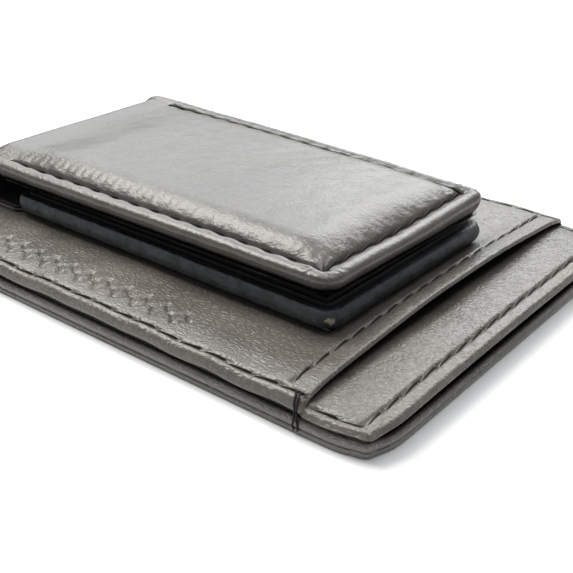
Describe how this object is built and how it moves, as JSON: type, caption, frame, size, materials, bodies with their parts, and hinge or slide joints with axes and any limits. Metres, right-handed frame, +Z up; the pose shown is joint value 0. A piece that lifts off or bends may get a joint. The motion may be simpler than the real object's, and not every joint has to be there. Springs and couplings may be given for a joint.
{
  "type": "card wallet with magnetic money clip",
  "caption": "Slim brown leather card wallet whose front carries a padded money clip that folds over at one end and shuts on magnets.",
  "frame": {"origin": "Centre of the underside, in the plane that the wallet lies on.", "axes": "+X runs along the 102 mm side to the open end of the card slots, +Y across the 70 mm side, +Z up through the layers to the padded flap."},
  "size_m": [0.102, 0.07, 0.0145],
  "materials": {
    "brown_leather": "finished nappa with a fine grain and a soft sheen",
    "painted_edge_leather": "cut leather edge with a matte dark edge paint",
    "black_lining": "thin black lining cloth",
    "clear_film": "clear soft vinyl film",
    "fibre_board": "pressed leather-fibre board",
    "magnet_nickel": "nickel-plated magnet",
    "foam": "soft closed-cell foam",
    "dark_thread": "twisted dark sewing thread"
  },
  "bodies": {
    "wallet": {"back_panel": "brown_leather", "id_window_film": "clear_film", "back_slot_panel": "brown_leather", "lower_compartment_lining": "black_lining", "compartment_gusset": "black_lining", "upper_compartment_lining": "black_lining", "front_slot_panel": "brown_leather", "front_pocket_lining": "black_lining", "front_panel": "brown_leather", "hinge_strap": "brown_leather", "hinge_lining": "black_lining", "clip_base_cover": "painted_edge_leather", "clip_base_board": "fibre_board", "clip_base_magnets": "magnet_nickel", "clip_base_lining": "black_lining", "mouth_stitches": "dark_thread", "slot_panel_stitches": "dark_thread", "near_edge_stitches": "dark_thread", "far_edge_stitches": "dark_thread", "closed_end_stitches": "dark_thread", "underside_stitches": "dark_thread", "corner_tacks": "dark_thread"},
    "flap": {"flap_cover": "brown_leather", "flap_padding": "foam", "flap_board": "fibre_board", "flap_magnets": "magnet_nickel", "flap_lining": "black_lining", "flap_border_stitches": "dark_thread"}
  },
  "joints": [
    {"name": "flap_hinge", "type": "hinge", "parent": "wallet", "child": "flap", "pos_m": [-0.0335, -0.0025, 0.0094], "axis": [0, -1, 0], "range_deg": [0, 160], "deforming": ["hinge_strap", "hinge_lining"]}
  ]
}
